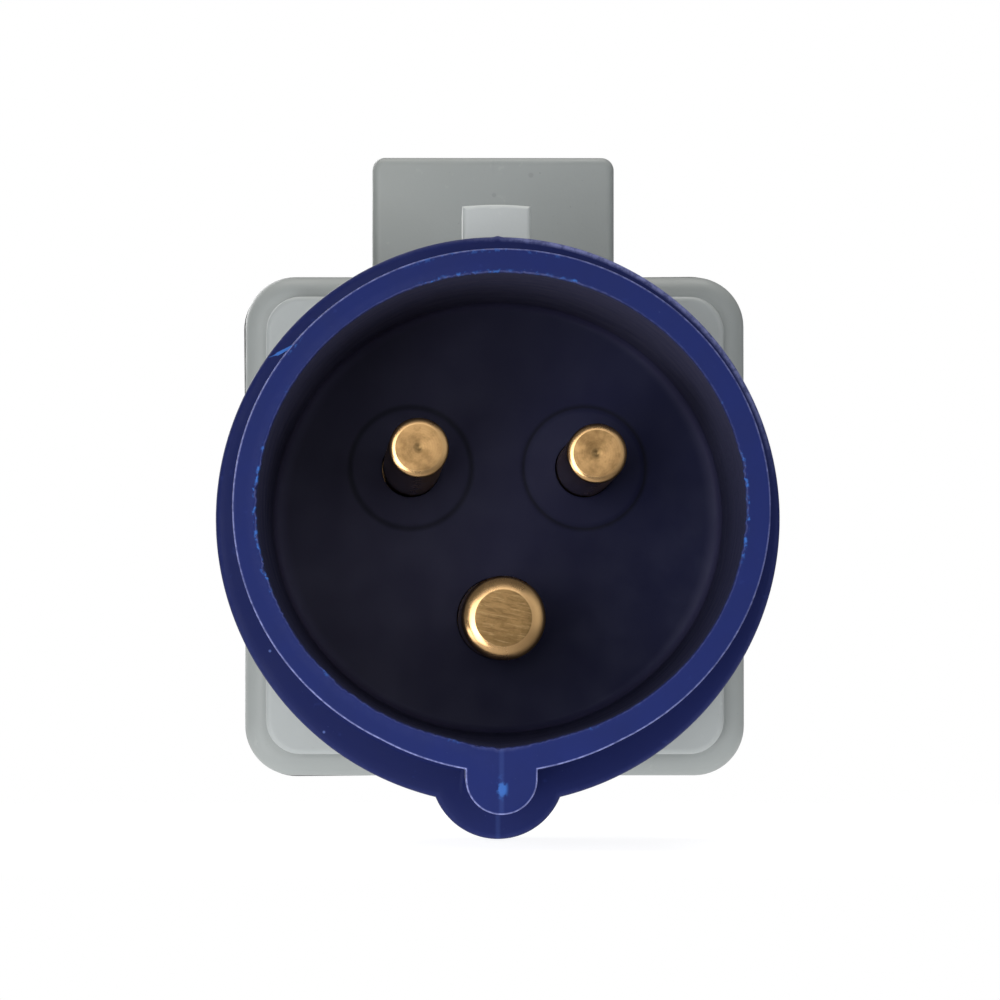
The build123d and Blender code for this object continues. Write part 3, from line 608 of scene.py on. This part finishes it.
def pin_holes(mesh, inside):
    """Stepped holes through the contact floor. Returns their loops on its front and on its rear."""
    fronts, rears = [], []
    for centre, shaft, grooved, tone in (
        ((live_x, live_z), PIN_RADIUS, True, 0.90),
        ((-live_x, live_z), PIN_RADIUS, True, 1.0),
        ((0, earth_z), EARTH_RADIUS, False, 1.0),
    ):
        hole = shaft + FIT_GAP
        rear_hole = hole + ROOT_STEP
        seat = shaft + PIN_COLLAR + FIT_GAP
        # Each step: radius, y, and its level of painted shade: darker in the grooves, near black down the
        # hole, a little less inside the line pin's groove
        stack = []
        if grooved:
            for i in range(GROOVE_STEPS + 1):
                sunk = sin(pi * i / GROOVE_STEPS) ** 2
                shade = (tone if i > GROOVE_STEPS // 2 else 1.0) + GROOVE_SHADE * sunk
                radius = GROOVE_OUTER - GROOVE_WIDTH * i / GROOVE_STEPS
                stack.append((radius, GROOVE_DEPTH * sunk, shade))
            stack += [(GROOVE_OUTER - 1.2 * GROOVE_WIDTH, 0, tone), (hole + 0.9 * MM, 0, tone)]
        stack += [(hole + 0.25 * MM, 0, tone), (hole + 0.06 * MM, 0, 1.2), (hole, 0.06 * MM, 1.5)]
        stack += [(hole, PIN_STEP_Y, 1.5), (rear_hole, PIN_STEP_Y, 1.5), (rear_hole, COLLAR_SEAT_Y, 1.5)]
        stack += [(seat, COLLAR_SEAT_Y, 1.5), (seat, FLOOR_REAR_Y, 1.0)]
        loops = []
        for radius, y, shade in stack:
            loop = circle(mesh, centre, radius, y)
            for vert in loop:
                vert[inside] = shade
            loops.append(loop)
        bridge(mesh, loops)
        fronts.append(loops[0])
        rears.append(loops[-1])
    return fronts, rears


def add_burr(mesh, bruise):
    """Thin pointed sliver that stands off the rim's edge at the upper left."""
    along = (BURR_END - BURR_START).normalized()
    across = Vector((-along.y, along.x))
    sections = []
    for centre, half, thick in (
        (BURR_START, 0.08 * MM, 0.30 * MM),
        (BURR_MIDDLE, 0.13 * MM, 0.24 * MM),
        (BURR_MIDDLE + 0.2 * (BURR_END - BURR_MIDDLE), 0.05 * MM, 0.10 * MM),
        (BURR_END, 0.02 * MM, 0.04 * MM),
    ):
        sides = (centre + across * half, centre - across * half)
        corners = [(side.x, RIM_Y + 0.04 * MM + deep, side.y) for side in sides for deep in (0, thick)]
        section = [mesh.verts.new(corners[i]) for i in (0, 1, 3, 2)]
        for vert in section:
            vert[bruise] = 1.3 if centre == BURR_END else 1.9
        sections.append(section)
    bridge(mesh, sections)
    cap_ends(mesh, sections)


def shroud_mesh():
    """Closed solid: collar, nose, shoulder, spigot with its bead, contact floor and pin holes."""
    mesh = bmesh.new()
    wear_and_highlight = mesh.verts.layers.float.new("wear_and_highlight")
    inside = mesh.verts.layers.float.new("inside")
    bruise = mesh.verts.layers.float.new("bruise")
    rings = []

    def ring(outline, y, worn=None, within=0.0, bruised=None):
        """Adds one outline at y, with its wear and painted highlight, its level of painted shade inside the
        cavity, and how bruised it is.
        """
        made = []
        for way in ways:
            reach = outline(way)
            vert = mesh.verts.new((way.x * reach, y, way.y * reach))
            vert[wear_and_highlight] = worn(way) if worn else 0.0
            vert[inside] = within
            vert[bruise] = bruised(way) if bruised else 0.0
            made.append(vert)
        rings.append(made)

    # Cavity: its rounded foot, its wall, and the torn lip
    for y, inward in ((0, 0.7), (-0.06, 0.42), (-0.21, 0.2), (-0.42, 0.06), (-0.7, 0)):
        ring(cavity(y * MM, -inward * MM), y * MM, within=1.0)
    for y, within in ((-1.2, 0.75), (-2.4, 0.5), (-6, 0.5), (-14, 0.5), (-22, 0.5), (-30, 0.5), (-37, 0.5)):
        ring(cavity(y * MM), y * MM, within=within)
    for below, tearing in ((0.7, 0.1), (0.3, 0.55)):
        y = RIM_Y + below * MM
        ring(cavity(y, tearing=tearing), y, within=0.5 * below / 0.7)
    for below, tearing, out in ((0.1, 0.9, 0.03 * MM), (0.0, 1.0, LIP_SPREAD)):
        y = RIM_Y + below * MM
        ring(cavity(y, out, tearing), y, lip_wear, 0.5 * below / 0.7, lip_bruise)
    # The rim's flat and its bevel
    inner = cavity(RIM_Y, LIP_SPREAD, 1.0)
    outer = collar(RIM_Y, RIM_BEVEL)
    ring(blend(inner, outer, 0.06), RIM_Y, bruised=lip_bruise)
    for part, most in ((0.14, 0.02), (0.3, 0.015), (0.5, 0), (0.7, 0), (0.86, 0)):
        ring(blend(inner, outer, part), RIM_Y, rim_wear(most))
    ring(blend(inner, outer, 0.94), RIM_Y, bruised=rim_bruise)
    for step, (y, shrink) in enumerate(round_over(RIM_Y, RIM_BEVEL)):
        ring(collar(y, shrink), y, edge_wear_and_highlight if step else None, bruised=edge_bruise)
    # The collar's outside and the shoulder
    for y in (-37.3, -33, -26, -18, -10, -5, -2.35):
        ring(collar(y * MM), y * MM)
    root = collar(SHOULDER_Y, -ROOT_FLARE)
    ring(root, SHOULDER_Y)
    for part in (0.35, 0.7):
        ring(blend(root, shoulder(SHOULDER_ROUND), part), SHOULDER_Y)
    for step, (y, shrink) in enumerate(round_over(SHOULDER_Y, SHOULDER_ROUND)):
        ring(shoulder(shrink), y, shoulder_wear_and_highlight if step else None)
    for y in (-1.2, 4.0, 7.7):
        ring(shoulder(), y * MM)
    ring(shoulder(SHOULDER_REAR_BEVEL), SHOULDER_REAR_Y)
    # The spigot with its bead, and its bore
    for radius, y in (
        (SPIGOT_RADIUS, SHOULDER_REAR_Y),
        (SPIGOT_RADIUS, BEAD_Y - BEAD_HALF_WIDTH),
        (SPIGOT_RADIUS + BEAD_HEIGHT, BEAD_Y),
        (SPIGOT_RADIUS, BEAD_Y + BEAD_HALF_WIDTH),
        (SPIGOT_RADIUS, SPIGOT_END_Y - SPIGOT_BEVEL),
        (SPIGOT_RADIUS - SPIGOT_BEVEL, SPIGOT_END_Y),
        (SPIGOT_BORE, SPIGOT_END_Y),
        (SPIGOT_BORE, FLOOR_REAR_Y),
    ):
        ring(disc(radius), y)
    bridge(mesh, rings)
    fronts, rears = pin_holes(mesh, inside)
    fill_flat(mesh, rings[0], *fronts)
    fill_flat(mesh, rings[-1], *rears)
    add_burr(mesh, bruise)
    bmesh.ops.recalc_face_normals(mesh, faces=mesh.faces)
    return mesh


def pin_mesh(centre, shaft, length, tail, bevel, lean, sawn_off):
    """Pin with a bevelled tip, shaft, thicker root, collar and tail, leaning from the floor on."""
    mesh = bmesh.new()
    face = mesh.verts.layers.float.new("face")
    sawn = mesh.verts.layers.float.new("sawn")
    dull = mesh.verts.layers.float.new("dull")
    radius_layer = mesh.verts.layers.float.new("radius")
    flat = shaft - bevel
    dimple = 0.0 if sawn_off else TIP_DIMPLE
    # The tip, from its centre out: radius, how far back, and 1 where it is the faced end
    tip = [(0.03 * MM, dimple, 1), (0.22 * MM, 0.4 * dimple, 1), (0.5 * MM, 0, 1)]
    tip += [(flat * 0.6, 0, 1), (flat * 0.97, 0, 1), (flat, 0.01 * MM, 0)]
    tip += [(flat + bevel * out, bevel * back, 0) for out, back in BEVEL_STEPS]
    profile = [(radius, back - length, facing) for radius, back, facing in tip]
    root = shaft + ROOT_STEP
    flange = shaft + PIN_COLLAR
    profile += [(shaft, -length / 2, 0), (shaft, PIN_STEP_Y, 0), (root, PIN_STEP_Y, 0)]
    profile += [(root, COLLAR_SEAT_Y, 0), (flange, COLLAR_SEAT_Y, 0)]
    profile += [(flange, FLOOR_REAR_Y, 0), (tail, FLOOR_REAR_Y, 0), (tail, TAIL_END_Y, 0)]
    profile += [(TAP_RADIUS, TAIL_END_Y, 0), (TAP_RADIUS, TAIL_END_Y - TAP_DEPTH, 0)]
    loops = []
    for radius, y, facing in profile:
        loop = circle(mesh, centre, radius, y)
        away = lean * min(max(-y / length, 0), 1)
        for i, vert in enumerate(loop):
            turn = degrees(2 * pi * i / len(loop))
            vert.co += Vector((away.x, 0, away.y))
            vert[face] = 0.0 if sawn_off else facing
            vert[sawn] = facing if sawn_off else 0.0
            # Painted shade: the bevel is darker and rougher on its right, and left bright round its lower
            # left
            shaded = 0.35 + 0.65 * share(cos(radians(turn + 15)), 0.2, 0.9)
            vert[dull] = 0.0 if facing else shaded * (1 - share(62 - abs(turn - 218), 0, 40))
            vert[radius_layer] = radius
        loops.append(loop)
    bridge(mesh, loops)
    cap_ends(mesh, loops)
    bmesh.ops.recalc_face_normals(mesh, faces=mesh.faces)
    return mesh


materials = {
    "blue_plastic": blue_plastic(),
    "grey_plastic": grey_plastic(),
    "carrier_plastic": carrier_plastic(),
    "brass": brass(),
    "plated_steel": plated_steel(),
    "black_rubber": black_rubber(),
}
for part in frame["record"]["subparts"]:
    node = frame["nodes"][part["node"]]
    node.data.materials.clear()
    node.data.materials.append(materials[part["material_slot"]])

new_piece("shroud_moulding", shroud_mesh(), "plug_shroud", "body", "blue_plastic")
for node, centre, shaft, length, tail, bevel, lean in (
    ("line_pin", (live_x, live_z), PIN_RADIUS, -line_low.y, LIVE_TAIL, LIVE_BEVEL, LINE_LEAN),
    ("neutral_pin", (-live_x, live_z), PIN_RADIUS, -line_low.y, LIVE_TAIL, LIVE_BEVEL, NEUTRAL_LEAN),
    ("earth_pin", (0, earth_z), EARTH_RADIUS, -earth_low.y, EARTH_TAIL, EARTH_BEVEL, EARTH_LEAN),
):
    mesh = pin_mesh(centre, shaft, length, tail, bevel, lean, node == "earth_pin")
    new_piece(node + "_turned", mesh, node, "body", "brass")


def pale_floor():
    """Level pale sheet under the nose, which fades out all round."""
    bpy.ops.mesh.primitive_plane_add(size=FLOOR_SIDE)
    floor = bpy.context.object
    floor.name = "floor"
    floor.location = (0, FLOOR_CENTRE_Y, shroud_low.z - FLOOR_GAP)
    material = bpy.data.materials.new("pale_floor")
    material.use_nodes = True
    tree = material.node_tree
    tree.nodes.clear()
    output = tree.nodes.new("ShaderNodeOutputMaterial")
    mix = tree.nodes.new("ShaderNodeMixShader")
    paper = tree.nodes.new("ShaderNodeBsdfPrincipled")
    paper.inputs["Base Color"].default_value = (0.30, 0.30, 0.30, 1)
    paper.inputs["Roughness"].default_value = 1.0
    paper.inputs["Emission Color"].default_value = (1, 1, 1, 1)
    paper.inputs["Emission Strength"].default_value = 0.90
    clear = tree.nodes.new("ShaderNodeBsdfTransparent")
    place = tree.nodes.new("ShaderNodeTexCoord")
    away = tree.nodes.new("ShaderNodeVectorMath")
    away.operation = "LENGTH"
    fade = tree.nodes.new("ShaderNodeMapRange")
    fade.interpolation_type = "SMOOTHSTEP"
    fade.inputs["From Min"].default_value = 0.05
    fade.inputs["From Max"].default_value = 0.14
    links = tree.links
    links.new(place.outputs["Object"], away.inputs[0])
    links.new(away.outputs["Value"], fade.inputs["Value"])
    links.new(fade.outputs[0], mix.inputs[0])
    links.new(paper.outputs[0], mix.inputs[1])
    links.new(clear.outputs[0], mix.inputs[2])
    links.new(mix.outputs[0], output.inputs["Surface"])
    floor.data.materials.append(material)
    floor.visible_shadow = False


def area_light(name, place, target, size, power, colour=(1, 1, 1)):
    data = bpy.data.lights.new(name, "AREA")
    data.energy = power
    data.size = size
    data.color = colour
    light = bpy.data.objects.new(name, data)
    light.location = place
    light.rotation_euler = (Vector(target) - Vector(place)).to_track_quat("-Z", "Y").to_euler()
    bpy.context.scene.collection.objects.link(light)


def studio():
    world = bpy.data.worlds.new("studio")
    bpy.context.scene.world = world
    world.use_nodes = True
    tree = world.node_tree
    tree.nodes.clear()
    output = tree.nodes.new("ShaderNodeOutputWorld")
    mix = tree.nodes.new("ShaderNodeMixShader")
    soft = tree.nodes.new("ShaderNodeBackground")
    soft.inputs["Strength"].default_value = 0.25
    white = tree.nodes.new("ShaderNodeBackground")
    white.inputs["Color"].default_value = (1, 1, 1, 1)
    white.inputs["Strength"].default_value = 1.0
    path = tree.nodes.new("ShaderNodeLightPath")
    tree.links.new(path.outputs["Is Camera Ray"], mix.inputs[0])
    tree.links.new(soft.outputs[0], mix.inputs[1])
    tree.links.new(white.outputs[0], mix.inputs[2])
    tree.links.new(mix.outputs[0], output.inputs["Surface"])
    middle = (0, 0, 0)
    area_light("key", (-0.22, -0.55, 0.02), middle, 0.26, 1.12)
    area_light("low", (-0.20, -0.48, -0.16), middle, 0.16, 0.55)
    area_light("glint", (-0.36, -0.38, -0.20), middle, 0.16, 0.35)
    area_light("fill", (0.34, -0.45, 0.06), middle, 0.30, 0.66, (0.94, 0.97, 1))
    area_light("front", (0, -0.70, 0.14), middle, 0.30, 0.75)
    area_light("top", (0, 0.06, 0.75), middle, 0.60, 3.6, (1, 0.97, 0.93))
    area_light("rear", (-0.35, 0.60, 0.25), middle, 0.50, 3.0)


def camera():
    data = bpy.data.cameras.new("camera")
    data.sensor_width = SENSOR_WIDTH
    data.lens = FOCAL_PIXELS * SENSOR_WIDTH / IMAGE_SIZE
    data.clip_start = 0.05
    data.clip_end = 10
    eye = bpy.data.objects.new("camera", data)
    centre = IMAGE_SIZE / 2
    yaw = atan2(centre - AXIS_PIXEL.x, FOCAL_PIXELS)
    pitch = atan2(AXIS_PIXEL.y - centre, FOCAL_PIXELS)
    eye.location = CAMERA_PLACE
    eye.rotation_euler = (pi / 2 + pitch, 0, -yaw)
    bpy.context.scene.collection.objects.link(eye)
    bpy.context.scene.camera = eye


pale_floor()
studio()
camera()
bpy.context.scene.view_settings.view_transform = "Standard"
